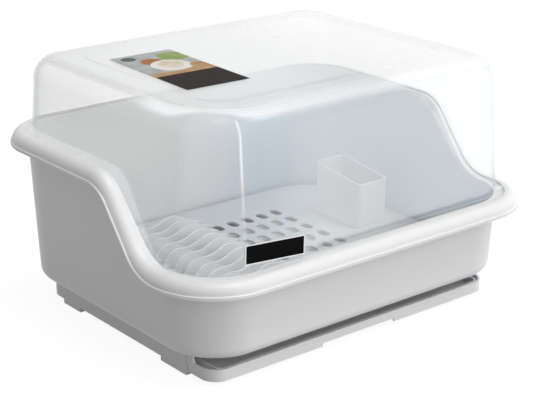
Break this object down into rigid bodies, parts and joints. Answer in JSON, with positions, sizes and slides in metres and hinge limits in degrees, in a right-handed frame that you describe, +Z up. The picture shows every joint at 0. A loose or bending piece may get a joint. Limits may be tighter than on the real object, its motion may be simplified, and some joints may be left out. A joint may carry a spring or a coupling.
{
  "type": "covered dish drainer",
  "caption": "Countertop dish drainer: white tub with a swept rim, clear lift-off dome lid, finned drain board, cutlery holder and a drip drawer below.",
  "frame": {"origin": "on the table, under the middle of the outer box", "axes": "+X to the right along the front, -Y towards the front, +Z up"},
  "size_m": [0.53, 0.42, 0.3063],
  "materials": {
    "tub_plastic": "satin white moulded polypropylene",
    "tray_plastic": "satin white moulded polypropylene",
    "board_plastic": "satin white moulded polypropylene",
    "holder_plastic": "translucent frosted plastic",
    "lid_plastic": "clear, slightly milky moulded plastic",
    "sticker": "printed paper under a gloss film",
    "sticker_black": "gloss black print with a white border"
  },
  "bodies": {
    "tub": {"basin": "tub_plastic", "base_frame": "tub_plastic"},
    "drawer": {"drip_tray": "tray_plastic", "drawer_front": "tray_plastic"},
    "board": {"drain_board": "board_plastic", "plate_fins": "board_plastic"},
    "holder": {"cutlery_holder": "holder_plastic"},
    "cover": {"lid": "lid_plastic", "lid_label": "sticker", "front_label": "sticker_black"}
  },
  "joints": [
    {"name": "lid_lift", "type": "slide", "parent": "tub", "child": "cover", "axis": [0, 0, 1], "range_m": [0, 0.2]},
    {"name": "board_lift", "type": "slide", "parent": "tub", "child": "board", "axis": [0, 0, 1], "range_m": [0, 0.12]},
    {"name": "holder_lift", "type": "slide", "parent": "board", "child": "holder", "axis": [0, 0, 1], "range_m": [0, 0.15]},
    {"name": "drawer_slide", "type": "slide", "parent": "tub", "child": "drawer", "axis": [0, -1, 0], "range_m": [0, 0.3]}
  ]
}
